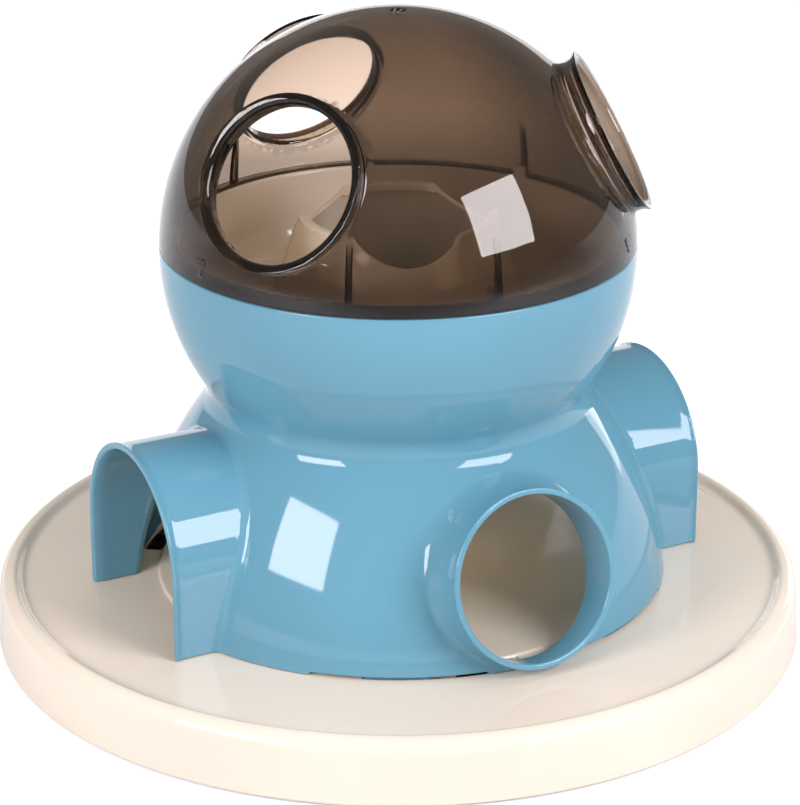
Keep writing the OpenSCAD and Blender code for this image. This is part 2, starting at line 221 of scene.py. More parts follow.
def toy_sizes(context):
    """Sizes in millimetres, with the ones that follow from them"""
    s = Millimetres(context.scene.treat_toy_sizes)
    s.plate_z = s.rim_z - s.rim_recess
    s.plate_under = s.plate_z - s.base_wall
    s.body_bottom = s.plate_z + s.face_gap
    s.ball_in = s.ball_r - s.body_wall
    s.plug_out = s.ball_in - s.plug_gap
    s.plug_in = s.plug_out - s.plug_wall
    s.tray_r = s.plug_in - s.plug_gap
    s.lug_in = s.plug_in + s.turn_gap
    s.hook_out = s.skirt_r - HOOK_INSET * s.body_wall
    s.hook_in = s.hook_out - HOOK_LEG
    s.toe_in = s.hook_in - TOE_REACH
    s.hook_a = HOOK_SPAN
    s.lug_a = LUG_SPAN
    s.lug_z = s.seam_z - LUG_DROP
    s.disc_r = s.toe_in - 2 * s.turn_gap
    s.trough_mid = s.tray_r - s.tray_wall - s.trough_r
    lean = math.cos(s.tower_draft)
    tower_run = s.trough_r + (s.tower_z - s.trough_z) * math.sin(s.tower_draft)
    s.tower_r = s.trough_mid - tower_run / lean
    return s


# Twist locks, in millimetres: the body's hooks under the plate, their slots, and its lugs in the plug
HOOK_INSET = 0.8
HOOK_LEG = 2.8
HOOK_RISE = 8
TOE_REACH = 3.8
TOE_H = 2.6
SLOT_OVER = 3
SLOT_BACK = 1.4
CHANNEL_ROOM = 2
CHANNEL_DEPTH = 5.2
HOOK_SPAN = math.radians(14)
LUG_SPAN = math.radians(8)
LUG_DROP = 5.2
LUG_H = 2.2
# Body: run of a tunnel's flare and of a relief gap's end, where the tunnels begin and room for their flare
FLARE_RUN = 4
RELIEF_RUN = 1.2
TUNNEL_FROM = 60
FLARE_ROOM = 2
# Dome: the arrows above the seam, and the gate's dimple, cap and nub at the top
ARROW_LOW = 3.6
ARROW_HIGH = 9.4
ARROW_RISE = 0.35
ARROW_SIDE = (0.895, 0.446)
DIMPLE_R = 2.6
CAP_R = 3.4
CAP_DEPTH = 0.8
NUB_R = 0.9
NUB_DROP = 1.8
NUB_HALF = 1.4
# Tray: half width of a stop tab, its ends below and above the rim, and its two faces inside the rim
TAB_HALF = 2.5
TAB_ENDS = (2, 4)
TAB_FACES = (1.9, 0.3)
# Foot pads: rounding of the rim, steps round it, and the dimple's profile
PAD_EDGE = 0.7
PAD_TURNS = 48
PAD_DIMPLE = [(2.2, 0.5), (2.8, 0.15), (3.4, 0.0)]
# How far from a form its change to a field is worked out
LUG_NEAR = 12
FOOT_NEAR = 20
COLLAR_FROM = 20
ARROW_FROM = 60
ARROW_NEAR = 20
LOW_NEAR = 12

# Azimuths of the forms that repeat
HOOK_AZ = np.radians([28, -28, 152, 208])
RELIEF_AZ = np.radians([27.8, -27.8, 152.2, 207.8])
RELIEF_HALF = math.radians(18.25)
LUG_AZ = np.radians([0, 120, 240])
PAW_AZ = np.radians([-60, 60, 180])
GUSSET_AZ = np.radians([-39.5, 80.5, 200.5, -4, 116, 236])
NOTCH_AZ = np.radians([-21.6, 98.4, 218.4])
TAB_AZ = np.radians([-4, 116, 236])
PAD_AZ = np.radians([30, 90, 150, 210, 270, 330])
ARROW_AZ = np.radians([-80, 42, 162])


def join(a, b, r):
    """Union of two fields with a fillet of radius r"""
    u = np.maximum(r - a, 0)
    v = np.maximum(r - b, 0)
    return np.maximum(r, np.minimum(a, b)) - np.hypot(u, v)


def meet(a, b, r):
    """Intersection of two fields with an edge of radius r"""
    u = np.maximum(r + a, 0)
    v = np.maximum(r + b, 0)
    return np.minimum(-r, np.maximum(a, b)) + np.hypot(u, v)


def cut(a, b, r):
    """Field a without b, its new edges of radius r"""
    return meet(a, -b, r)


def slab(u, lo, hi):
    """Distance to the space between two parallel planes"""
    return np.abs(u - (lo + hi) / 2) - (hi - lo) / 2


def frame_box(u, v, u0, u1, v0, v1, r):
    """Rectangle in two coordinates with corners of radius r"""
    a = slab(u, u0, u1)
    b = slab(v, v0, v1)
    return meet(a, b, r)


def azimuth(x, y):
    """Angle round the middle, from -Y towards +X"""
    return np.arctan2(x, -y)


def turned(az, mid):
    """Angle from mid, between -pi and pi"""
    return (az - mid + math.pi) % (2 * math.pi) - math.pi


def sector(rho, az, z, r0, r1, z0, z1, mid, half, r):
    """Sector of a ring, its middle at an azimuth"""
    arc = (np.abs(turned(az, mid)) - half) * (r0 + r1) / 2
    return meet(frame_box(rho, z, r0, r1, z0, z1, r), arc, r)


def along(x, y, z, az, tilt, height):
    """Distance along and from a tilted axis that leaves the middle at a height"""
    d = (math.sin(az) * math.cos(tilt), -math.cos(az) * math.cos(tilt), math.sin(tilt))
    zz = z - height
    t = x * d[0] + y * d[1] + zz * d[2]
    q = np.sqrt(np.maximum(x * x + y * y + zz * zz - t * t, 1e-9))
    return t, q


def radial(x, y, az):
    """Distances outwards and sideways from the upright plane at an azimuth"""
    return x * math.sin(az) - y * math.cos(az), x * math.cos(az) + y * math.sin(az)


def to_segment(u, v, a, b):
    """Distance to a straight piece of a half profile"""
    du, dv = b[0] - a[0], b[1] - a[1]
    t = np.clip(((u - a[0]) * du + (v - a[1]) * dv) / (du * du + dv * dv), 0, 1)
    return np.hypot(u - a[0] - t * du, v - a[1] - t * dv)


def where_near(value, mask, change):
    """Field with a change that only matters where the mask holds"""
    if mask.any():
        value = value.copy()
        value[mask] = change(value[mask], mask)
    return value


def body_field(s):
    """Body: ball, neck and skirt with arch tunnels, round ports, shelf, lugs and hooks"""
    neck_r = math.sqrt(s.ball_r ** 2 - (s.ball_z - s.neck_z) ** 2)
    p, q = np.array([neck_r, s.neck_z]), np.array([s.skirt_r, s.plate_z])
    half = (q - p) / 2
    run = np.linalg.norm(half)
    side = math.sqrt(s.skirt_bulge ** 2 - run ** 2)
    skirt_c = (p + q) / 2 + side * np.array([half[1], -half[0]]) / run
    crown_z = s.plate_z + s.arch_h - s.arch_w / 2
    waist_r = s.port_r - s.port_waist ** 2 / (2 * s.port_flare)
    shelf_r = math.sqrt(s.ball_in ** 2 - (s.ball_z - s.shelf_z) ** 2)
    toe_top = s.plate_under - s.turn_gap
    lip = 0.7

    def add_port(x, y, z, outer, hollow, port_az):
        t, q = along(x, y, z, port_az, s.port_tilt, s.port_axis_z)
        behind = np.clip(t - (s.port_reach - s.port_waist), -0.93 * s.port_flare, s.port_waist)
        rise = np.sqrt(s.port_flare ** 2 - behind ** 2)
        collar = (q - waist_r - s.port_flare + rise) * rise / s.port_flare
        collar = meet(collar, t - s.port_reach, lip)
        collar = np.maximum(collar, s.ball_r / 2 - t)
        bore = np.maximum(q - (s.port_r - s.port_wall), s.ball_r / 2 - t)
        return join(outer, collar, s.port_root), join(hollow, bore, 0.8)

    def add_foot(x, y, z, wall):
        rho = np.hypot(x, y)
        az = azimuth(x, y)
        apart = np.min([np.abs(turned(az, mid)) for mid in RELIEF_AZ], axis=0)
        step_up = np.clip((RELIEF_HALF - apart) * s.skirt_r / RELIEF_RUN + 0.5, 0, 1)
        foot = s.body_bottom + (s.plate_z + s.relief_h - s.body_bottom) * step_up
        wall = meet(wall, foot - z, 0.4)
        for mid in HOOK_AZ:
            leg = sector(rho, az, z, s.hook_in, s.hook_out, toe_top - TOE_H, s.plate_z + HOOK_RISE,
                         mid, s.hook_a / 2, 0.4)
            toe = sector(rho, az, z, s.toe_in, s.hook_out, toe_top - TOE_H, toe_top,
                         mid, s.hook_a / 2, 0.4)
            wall = np.minimum(wall, np.minimum(leg, toe))
        return wall

    def add_lugs(x, y, z, wall):
        rho = np.hypot(x, y)
        az = azimuth(x, y)
        for mid in LUG_AZ:
            lug = sector(rho, az, z, s.lug_in, s.ball_in + s.body_wall / 2,
                         s.lug_z, s.lug_z + LUG_H, mid, s.lug_a / 2, 0.4)
            wall = join(wall, lug, 0.3)
        return wall

    def field(x, y, z):
        rho = np.hypot(x, y)
        ball = np.hypot(rho, z - s.ball_z) - s.ball_r
        skirt = np.hypot(rho - skirt_c[0], z - skirt_c[1]) - s.skirt_bulge
        outer = join(ball, skirt, s.neck_round)
        hollow = join(ball + s.body_wall, skirt + s.body_wall, s.neck_round + s.body_wall)
        arch = np.hypot(y, np.maximum(z - crown_z, 0)) - s.arch_w / 2
        mouth = np.clip((np.abs(x) - s.arch_reach + FLARE_RUN) / FLARE_RUN, 0, 1) ** 2
        flared = arch - s.arch_bead * mouth
        outer = join(outer, meet(flared, np.abs(x) - s.arch_reach, lip), s.arch_root)
        hollow = join(hollow, flared + s.arch_wall, 2)
        for port_az, ahead in ((0, -y), (math.pi, y)):
            close = ahead > 0
            if close.any():
                outer, hollow = outer.copy(), hollow.copy()
                outer[close], hollow[close] = add_port(x[close], y[close], z[close],
                                                       outer[close], hollow[close], port_az)
        wall = cut(outer, hollow, lip)
        wall = meet(wall, z - s.seam_z, 0.5)
        shelf = frame_box(rho, z, shelf_r - s.shelf_w, shelf_r + s.body_wall / 2,
                          s.shelf_z - s.body_wall, s.shelf_z, 0.5)
        shelf = np.maximum(shelf, ball + s.body_wall / 2)
        wall = join(wall, shelf, 1)
        wall = where_near(wall, z > s.lug_z - LUG_NEAR, lambda v, m: add_lugs(x[m], y[m], z[m], v))
        return where_near(wall, z < s.plate_z + FOOT_NEAR, lambda v, m: add_foot(x[m], y[m], z[m], v))

    reach = s.arch_reach + 2
    return field, (-reach, -reach, 13.5), (reach, reach, s.seam_z + 1.5)


def dome_field(s):
    """Dome: shell, three paw ports with flared lips, slotted plug, gussets and arrow marks"""
    hollow_c = (s.paw_r + 0.75 * s.paw_hollow, s.paw_reach - 0.75 * s.paw_hollow)
    bore_r = s.paw_r - s.paw_lip
    mouth = 0.66 * s.paw_lip
    inner_edge = 1.6
    bore_end = math.sqrt((s.ball_r - s.dome_wall) ** 2 - bore_r ** 2)
    mid_r = s.ball_r - s.dome_wall / 2
    gusset_foot = (s.plug_in, s.seam_z + s.plug_rise)
    top_z = gusset_foot[1] + s.gusset_h
    gx = math.sqrt(mid_r ** 2 - (top_z - s.ball_z) ** 2) - gusset_foot[0]
    gz = s.gusset_h
    gl = math.hypot(gx, gz)
    lug_gap = s.turn_gap / s.lug_in

    def add_collar(x, y, z, outer, mid):
        t, q = along(x, y, z, mid, s.paw_tilt, s.paw_axis_z)
        collar = meet(q - s.paw_r, t - s.paw_reach, 0.6)
        collar = np.maximum(collar, s.ball_r / 2 - t)
        ring = np.hypot(q - hollow_c[0], t - hollow_c[1]) - s.paw_hollow
        return join(outer, cut(collar, ring, 0.4), 0.7)

    def cut_bore(x, y, z, shell, mid):
        t, q = along(x, y, z, mid, s.paw_tilt, s.paw_axis_z)
        out = np.clip(t - s.paw_reach + mouth, 0, 0.999 * mouth)
        back = np.clip(bore_end + inner_edge - t, 0, 0.95 * inner_edge)
        edge = bore_r + mouth - np.sqrt(mouth ** 2 - out ** 2)
        edge += inner_edge - np.sqrt(inner_edge ** 2 - back ** 2)
        steep = out / np.sqrt(mouth ** 2 - out ** 2) + back / np.sqrt(inner_edge ** 2 - back ** 2)
        bore = np.maximum((q - edge) / np.sqrt(1 + np.minimum(steep, 3) ** 2), s.ball_r / 2 - t)
        return cut(shell, bore, 0.5)

    def add_low(x, y, z, shell):
        rho = np.hypot(x, y)
        az = azimuth(x, y)
        ball = np.hypot(rho, z - s.ball_z) - s.ball_r
        plug = frame_box(rho, z, s.plug_in, s.plug_out, s.seam_z - s.plug_drop,
                         s.seam_z + s.plug_rise, 0.35)
        band = np.maximum(slab(z, s.seam_z + s.face_gap, s.seam_z + s.plug_rise),
                          np.maximum(s.plug_in - rho, ball + s.dome_wall / 2))
        plug = np.minimum(plug, band)
        for mid in LUG_AZ:
            run = sector(rho, az, z, s.plug_in - 1, s.plug_out + s.turn_gap,
                         s.lug_z - s.turn_gap, s.lug_z + LUG_H + s.turn_gap,
                         mid - s.twist / 2, (s.lug_a + s.twist) / 2 + lug_gap, 0.2)
            way_in = sector(rho, az, z, s.plug_in - 1, s.plug_out + s.turn_gap,
                            s.seam_z - s.plug_drop - 3, s.lug_z + LUG_H,
                            mid - s.twist, s.lug_a / 2 + lug_gap, 0.2)
            plug = cut(plug, np.minimum(run, way_in), 0.2)
        shell = join(shell, plug, 0.4)
        for mid in GUSSET_AZ:
            u, v = radial(x, y, mid)
            face = ((u - gusset_foot[0]) * gz - (z - gusset_foot[1]) * gx) / gl
            rib = np.maximum(-face, np.maximum(gusset_foot[1] - 0.8 - z, ball + s.dome_wall / 2))
            rib = meet(rib, np.abs(v) - s.gusset_w / 2, 0.4)
            shell = join(shell, rib, 0.5)
        return shell

    def add_arrow(x, y, z, outer, mid):
        u, v = radial(x, y, mid)
        ball = np.hypot(np.hypot(x, y), z - s.ball_z) - s.ball_r
        flank = np.abs(v) * ARROW_SIDE[0] + (s.seam_z + ARROW_LOW - z) * ARROW_SIDE[1]
        arrow = np.maximum(flank, z - s.seam_z - ARROW_HIGH)
        return np.minimum(outer, meet(np.maximum(arrow, -u), ball - ARROW_RISE, 0.2))

    def field(x, y, z):
        rho = np.hypot(x, y)
        ball = np.hypot(rho, z - s.ball_z) - s.ball_r
        outer = ball
        for mid in PAW_AZ:
            ahead = radial(x, y, mid)[0] > COLLAR_FROM
            outer = where_near(outer, ahead, lambda v, m: add_collar(x[m], y[m], z[m], v, mid))
        low = z < s.seam_z + ARROW_NEAR
        for mid in ARROW_AZ:
            ahead = low & (radial(x, y, mid)[0] > ARROW_FROM)
            outer = where_near(outer, ahead, lambda v, m: add_arrow(x[m], y[m], z[m], v, mid))
        shell = cut(outer, ball + s.dome_wall, 0.3)
        shell = meet(shell, s.seam_z + s.face_gap - z, 0.3)
        for mid in PAW_AZ:
            ahead = radial(x, y, mid)[0] > COLLAR_FROM
            shell = where_near(shell, ahead, lambda v, m: cut_bore(x[m], y[m], z[m], v, mid))
        shell = where_near(shell, z < top_z + LOW_NEAR, lambda v, m: add_low(x[m], y[m], z[m], v))
        apex = np.hypot(rho, z - s.ball_z - s.ball_r)
        shell = cut(shell, apex - DIMPLE_R, 0.3)
        nub = np.maximum(rho - NUB_R, np.abs(z - s.ball_z - s.ball_r + NUB_DROP) - NUB_HALF)
        cap = np.maximum(np.maximum(ball + CAP_DEPTH, -(ball + s.dome_wall)), rho - CAP_R)
        return np.minimum(shell, np.minimum(cap, nub))

    reach = s.ball_r + 4
    return field, (-reach, -reach, s.seam_z - s.plug_drop - 1.5), (reach, reach, s.ball_z + s.ball_r + 2)


def tray_field(s):
    """Treat tray: ring trough, hollow tower with three notches, foot ring and stop tabs"""
    half = s.tray_wall / 2
    r_mid = s.trough_r + half
    tilt = s.tower_draft
    lean = math.cos(tilt)
    tower_top = (s.tower_r - half / lean, s.tower_z - half)
    tower_low = (s.trough_mid - r_mid * lean, s.trough_z - r_mid * math.sin(tilt))
    wall_low = (s.trough_mid + r_mid, s.trough_z)
    wall_top = (s.trough_mid + r_mid, s.tray_rim_z - half)
    foot_in = s.trough_mid + 0.45 * s.trough_r
    foot_out = foot_in + 2 * s.tray_wall
    notch_r = (s.notch_w ** 2 / 4 + s.notch_d ** 2) / (2 * s.notch_d)

    def field(x, y, z):
        rho = np.hypot(x, y)
        du, dv = rho - s.trough_mid, z - s.trough_z
        under = (dv <= 0) & (du * math.sin(tilt) - dv * lean >= 0)
        bowl = np.where(under, np.abs(np.hypot(du, dv) - r_mid), 1e3)
        bowl = np.minimum(bowl, to_segment(rho, z, tower_top, tower_low))
        bowl = np.minimum(bowl, to_segment(rho, z, wall_low, wall_top))
        wall = bowl - half
        rim = frame_box(rho, z, s.tower_r - s.tower_lip, s.tower_r, s.tower_z - 0.8 * s.tower_lip,
                        s.tower_z, 0.45)
        wall = join(wall, rim, 0.8)
        foot = frame_box(rho, z, foot_in, foot_out, s.shelf_z, s.trough_z - 6, 0.5)
        foot = np.maximum(foot, r_mid - np.hypot(du, dv))
        wall = join(wall, foot, 1)
        for mid in NOTCH_AZ:
            u, v = radial(x, y, mid)
            notch = np.hypot(v, z - (s.tower_z - s.notch_d + notch_r)) - notch_r
            notch = np.maximum(notch, np.maximum(-u, u - s.tower_r - s.notch_d))
            wall = cut(wall, notch, 0.45)
        for mid in TAB_AZ:
            u, v = radial(x, y, mid)
            tab = frame_box(v, z, -TAB_HALF, TAB_HALF, s.tray_rim_z - TAB_ENDS[0],
                            s.tray_rim_z + TAB_ENDS[1], 0.6)
            tab = meet(tab, slab(u, s.tray_r - TAB_FACES[0], s.tray_r - TAB_FACES[1]), 0.4)
            wall = join(wall, tab, 0.6)
        return wall

    reach = s.tray_r + 2
    return field, (-reach, -reach, s.shelf_z - 1.5), (reach, reach, s.tower_z + 2)


def base_field(s):
    """Base: plate in a rounded rim, locating disc, slots, ribs and cups underneath"""
    rim_in = s.base_r - s.rim_w
    lean = s.skirt_lean / (s.rim_z - s.rim_round - s.pad_lift)
    norm = math.hypot(1, lean)
    socket_r = s.pad_r + s.pad_gap
    socket_top = s.pad_lift + s.pad_socket
    rib_top = s.plate_under + s.base_wall / 2
    gap_a = s.turn_gap / s.hook_in

    def field(x, y, z):
        rho = np.hypot(x, y)
        az = azimuth(x, y)
        side = (rho - s.base_r + lean * (z - s.pad_lift)) / norm
        solid = meet(side, z - s.rim_z, s.rim_round)
        solid = meet(solid, s.pad_lift - z, 0.7)
        slant = (rho - rim_in - z + s.plate_z + s.rim_recess / 2) * math.sqrt(0.5)
        recess = meet(s.plate_z - z, slant, 0.8)
        solid = cut(solid, recess, 0.7)
        under = meet(z - s.plate_under, side + s.base_wall, 2.6)
        solid = cut(solid, under, 0.6)
        disc = meet(rho - s.disc_r, slab(z, s.plate_under, s.plate_z + s.disc_h), 0.6)
        solid = join(solid, disc, 0.8)
        hub = frame_box(rho, z, s.hub_r - s.rib_w / 2, s.hub_r + s.rib_w / 2, s.rib_lift, rib_top, 0.4)
        ribs = hub
        for mid in PAD_AZ:
            u, v = radial(x, y, mid)
            rib = meet(np.abs(v) - s.rib_w / 2, s.rib_lift + 1 - z, 0.4)
            rib = np.maximum(rib, np.maximum(z - rib_top, np.maximum(s.hub_r - u, side + 1.5)))
            ribs = np.minimum(ribs, rib)
        channel = frame_box(rho, z, s.toe_in - CHANNEL_ROOM, s.hook_out + CHANNEL_ROOM,
                            s.plate_under - CHANNEL_DEPTH, rib_top + 1, 0.4)
        ribs = np.maximum(ribs, -np.maximum(channel, z - s.plate_under))
        solid = join(solid, ribs, 0.8)
        for mid in PAD_AZ:
            u, v = radial(x, y, mid)
            q = np.hypot(u - s.pad_circle, v)
            cup = meet(q - socket_r - s.base_wall, s.pad_lift - z, 0.5)
            cup = np.maximum(cup, z - rib_top)
            socket = np.maximum(q - socket_r, z - socket_top)
            solid = cut(join(solid, cup, 0.8), socket, 0.3)
        for mid in HOOK_AZ:
            narrow = sector(rho, az, z, s.hook_in - s.turn_gap, s.hook_out + s.turn_gap,
                            s.plate_under - SLOT_OVER, s.plate_z + SLOT_OVER,
                            mid + s.twist / 2, (s.hook_a + s.twist) / 2 + gap_a, 0.3)
            wide = sector(rho, az, z, s.toe_in - s.turn_gap, s.hook_out - SLOT_BACK,
                          s.plate_under - SLOT_OVER, s.plate_z + SLOT_OVER,
                          mid + s.twist, s.hook_a / 2 + 3 * gap_a, 0.3)
            solid = cut(solid, np.minimum(narrow, wide), 0.3)
        return solid

    reach = s.base_r + 2
    return field, (-reach, -reach, -0.6), (reach, reach, s.rim_z + 1.5)


def sample_field(field, lo, step, cells):
    """Field on a grid: exact near the surface, and in one value per block elsewhere"""
    blocks = [c // BLOCK for c in cells]
    mids = [l + step * BLOCK * (np.arange(b) + 0.5) for l, b in zip(lo, blocks)]
    coarse = field(*np.meshgrid(*mids, indexing="ij"))
    grid = np.empty([c + 1 for c in cells], np.float32)
    wide = coarse.astype(np.float32)
    for ax in range(3):
        wide = np.repeat(wide, BLOCK, axis=ax)
    grid[:-1, :-1, :-1] = wide
    grid[-1], grid[:, -1], grid[:, :, -1] = grid[-2], grid[:, -2], grid[:, :, -2]
    near = np.argwhere(np.abs(coarse) < BLOCK * step)
    inner = np.stack(np.meshgrid(*[np.arange(BLOCK + 1)] * 3, indexing="ij"), -1).reshape(-1, 3)
    for part in np.array_split(near, max(1, len(near) // BATCH)):
        at = (part[:, None, :] * BLOCK + inner[None]).reshape(-1, 3)
        spot = [lo[k] + step * at[:, k].astype(np.float64) for k in range(3)]
        grid[at[:, 0], at[:, 1], at[:, 2]] = field(*spot)
    return grid


def net_surface(grid):
    """Quads round the zero level of a grid, one point for each cell that it crosses"""
    inside = grid < 0
    nx, ny, nz = [n - 1 for n in grid.shape]
    count = np.zeros((nx, ny, nz), np.uint8)
    for i, j, k in CORNERS:
        count += inside[i:nx + i, j:ny + j, k:nz + k]
    cells = np.argwhere((count > 0) & (count < 8))
    ids = np.full((nx, ny, nz), -1, np.int32)
    ids[tuple(cells.T)] = np.arange(len(cells))
    value = np.stack([grid[tuple((cells + c).T)] for c in CORNERS], 1).astype(np.float64)
    total = np.zeros((len(cells), 3))
    hits = np.zeros(len(cells))
    for a, b in CELL_EDGES:
        va, vb = value[:, a], value[:, b]
        crossed = (va < 0) != (vb < 0)
        t = np.where(crossed, va / np.where(crossed, va - vb, 1), 0)
        total += np.where(crossed[:, None], CORNERS[a] + t[:, None] * (CORNERS[b] - CORNERS[a]), 0)
        hits += crossed
    points = cells + total / hits[:, None]
    quads = []
    for ax in range(3):
        b, c = (ax + 1) % 3, (ax + 2) % 3
        low = [slice(1, -1)] * 3
        high = [slice(1, -1)] * 3
        low[ax], high[ax] = slice(0, -1), slice(1, None)
        start = inside[tuple(low)]
        at = np.argwhere(start != inside[tuple(high)])
        flip = ~start[tuple(at.T)]
        at[:, b] += 1
        at[:, c] += 1
        ring = []
        for db, dc in ((1, 1), (0, 1), (0, 0), (1, 0)):
            cell = at.copy()
            cell[:, b] -= db
            cell[:, c] -= dc
            ring.append(ids[tuple(cell.T)])
        quad = np.stack(ring, 1)
        quad[flip] = quad[flip][:, ::-1]
        quads.append(quad)
    return points, np.concatenate(quads)


def slope(field, points, h):
    """Field's gradient at points"""
    g = np.zeros_like(points)
    for e in TETRA:
        g += e * field(*(points + h * e).T)[:, None]
    return g / (4 * h)


def settle(field, points, most, rounds):
    """Points moved onto the field's zero level"""
    for _ in range(rounds):
        g = slope(field, points, SLOPE_PROBE)
        move = field(*points.T)[:, None] * g / np.maximum((g * g).sum(1), LEAST_SLOPE)[:, None]
        size = np.linalg.norm(move, axis=1)[:, None]
        points = points - move * np.minimum(1, most / np.maximum(size, 1e-9))
    return points


def facing(field, points):
    """Unit normals of a field's skin"""
    normals = slope(field, points, NORMAL_PROBE)
    return normals / np.maximum(np.linalg.norm(normals, axis=1), 1e-9)[:, None]


def refine(field, points, tris, turn, least, where=None):
    """Triangles split at edges over which the skin turns, with the new points on the skin"""
    normals = facing(field, points)
    pairs = np.sort(tris[:, [[0, 1], [1, 2], [2, 0]]], axis=2).reshape(-1, 2)
    keys, which = np.unique(pairs[:, 0] * len(points) + pairs[:, 1], return_inverse=True)
    a, b = keys // len(points), keys % len(points)
    bent = (normals[a] * normals[b]).sum(1) < math.cos(turn)
    split = bent & (np.linalg.norm(points[a] - points[b], axis=1) > least)
    if where:
        split &= where((points[a] + points[b]) / 2, normals[a])
    mids = settle(field, (points[a[split]] + points[b[split]]) / 2, least, 3)
    fresh = np.where(split, len(points) + np.cumsum(split) - 1, -1)[which.ravel()].reshape(-1, 3)
    marked = fresh >= 0
    parts = [tris[~marked.any(1)]]

    def keep(rows, *corners):
        for corner in corners:
            parts.append(np.stack([c[rows] for c in corner], 1))

    whole = marked.all(1)
    (a, b, c), (p, q, r) = tris.T, fresh.T
    keep(whole, (a, p, r), (p, b, q), (r, q, c), (p, q, r))
    for k in range(3):
        a, b, c = np.roll(tris, -k, axis=1).T
        p, q, _ = np.roll(fresh, -k, axis=1).T
        first, second, third = np.roll(marked, -k, axis=1).T
        keep(first & ~second & ~third, (a, p, c), (p, b, c))
        keep(first & second & ~third, (a, p, c), (p, q, c), (p, b, q))
    return np.concatenate([points, mids]), np.concatenate(parts)


def mend(points, tris):
    """Mesh with doubled points joined, folded triangles dropped and two triangles at every edge"""
    for _ in range(MEND_ROUNDS):
        _, first, group = np.unique(np.round(points / JOIN_GAP), axis=0, return_index=True,
                                    return_inverse=True)
        tris = first[group.ravel()][tris]
        tris = tris[(tris != np.roll(tris, 1, axis=1)).all(1)]
        _, which, uses = np.unique(np.sort(tris, axis=1), axis=0, return_inverse=True,
                                   return_counts=True)
        tris = tris[uses[which.ravel()] == 1]
        pairs = np.sort(tris[:, [[0, 1], [1, 2], [2, 0]]], axis=2).reshape(-1, 2)
        ends, uses = np.unique(pairs, axis=0, return_counts=True)
        odd = ends[uses != 2]
        if not len(odd):
            break
        points[odd[:, 1]] = points[odd[:, 0]]
    used, tris = np.unique(tris, return_inverse=True)
    return points[used], tris.reshape(-1, 3)


def skin(name, shape, step, faces, fine=None):
    """Closed mesh of a field: thinned, refined where it turns and where asked, with the field's normals"""
    field, lo, hi = shape
    cells = [int(math.ceil((h - l) / step / BLOCK)) * BLOCK for l, h in zip(lo, hi)]
    points, quads = net_surface(sample_field(field, lo, step, cells))
    points = settle(field, np.array(lo) + step * points, step / 2, 3)
    mesh = bpy.data.meshes.new(name)
    mesh.from_pydata(points * MM, [], quads)
    obj = bpy.data.objects.new(name, mesh)
    bpy.context.scene.collection.objects.link(obj)
    thin = obj.modifiers.new("Thin", "DECIMATE")
    thin.ratio = min(1.0, faces / (2 * len(quads)))
    thin.use_collapse_triangulate = True
    view = bpy.context.evaluated_depsgraph_get()
    thinned = bpy.data.meshes.new_from_object(obj.evaluated_get(view))
    obj.modifiers.clear()
    points = np.empty(len(thinned.vertices) * 3)
    thinned.vertices.foreach_get("co", points)
    tris = np.empty(len(thinned.polygons) * 3, np.int32)
    thinned.polygons.foreach_get("vertices", tris)
    points = settle(field, points.reshape(-1, 3) / MM, THIN_SHIFT, 2)
    tris = tris.reshape(-1, 3).astype(np.int64)
    for _ in range(EDGE_ROUNDS):
        points, tris = refine(field, points, tris, EDGE_TURN, EDGE_LEAST)
    for _ in range(SOFT_ROUNDS):
        points, tris = refine(field, points, tris, SOFT_TURN, SOFT_LEAST)
    for _ in range(FINE_ROUNDS if fine else 0):
        points, tris = refine(field, points, tris, FINE_TURN, FINE_LEAST, fine)
    points, tris = mend(points, tris)
    done = bpy.data.meshes.new(name)
    done.from_pydata(points * MM, [], tris)
    obj.data = done
    bpy.data.meshes.remove(mesh)
    bpy.data.meshes.remove(thinned)
    done.name = name
    done.polygons.foreach_set("use_smooth", np.ones(len(done.polygons), bool))
    done.update()
    done.normals_split_custom_set_from_vertices(facing(field, points))
    return obj


def node_tree(name):
    """New material with its nodes, links, shader and output"""
    mat = bpy.data.materials.new(name)
    mat.use_nodes = True
    nodes, links = mat.node_tree.nodes, mat.node_tree.links
    return mat, nodes, links, nodes["Principled BSDF"], nodes["Material Output"]


def noise(nodes, links, where, scale, detail, rough=0.5):
    """Noise texture on object coordinates"""
    tex = nodes.new("ShaderNodeTexNoise")
    tex.inputs["Scale"].default_value = scale
    tex.inputs["Detail"].default_value = detail
    tex.inputs["Roughness"].default_value = rough
    links.new(where, tex.inputs["Vector"])
    return tex.outputs["Fac"]


def remap(nodes, links, value, lo, hi, start=0.35, end=0.65):
    """Value spread over a range"""
    node = nodes.new("ShaderNodeMapRange")
    node.inputs["From Min"].default_value = start
    node.inputs["From Max"].default_value = end
    node.inputs["To Min"].default_value = lo
    node.inputs["To Max"].default_value = hi
    links.new(value, node.inputs["Value"])
    return node.outputs["Result"]


def tint(nodes, links, factor, dark, light):
    """Colour between two"""
    mix = nodes.new("ShaderNodeMix")
    mix.data_type = "RGBA"
    mix.inputs["A"].default_value = (*dark, 1)
    mix.inputs["B"].default_value = (*light, 1)
    links.new(factor, mix.inputs["Factor"])
    return mix.outputs["Result"]


def bump(nodes, links, shader, height, strength, distance):
    """Relief on a shader's normal"""
    node = nodes.new("ShaderNodeBump")
    node.inputs["Strength"].default_value = strength
    node.inputs["Distance"].default_value = distance
    links.new(height, node.inputs["Height"])
    links.new(node.outputs["Normal"], shader.inputs["Normal"])


# Noise scales of the plastics and the rubber, per metre, and the relief of the plastic's skin
FLOW_SCALE = 14
WIPE_SCALE = 30
SKIN_SCALE = 28
SKIN_BUMP = 0.015
SKIN_DEPTH = 0.0006
SMOKE_WIPE_SCALE = 60
SMOKE_SKIN_SCALE = 16
GRAIN_SCALE = 700
PLASTIC_IOR = 1.5
CREAM_FLOW = 0.025
BLUE_FLOW = 0.03


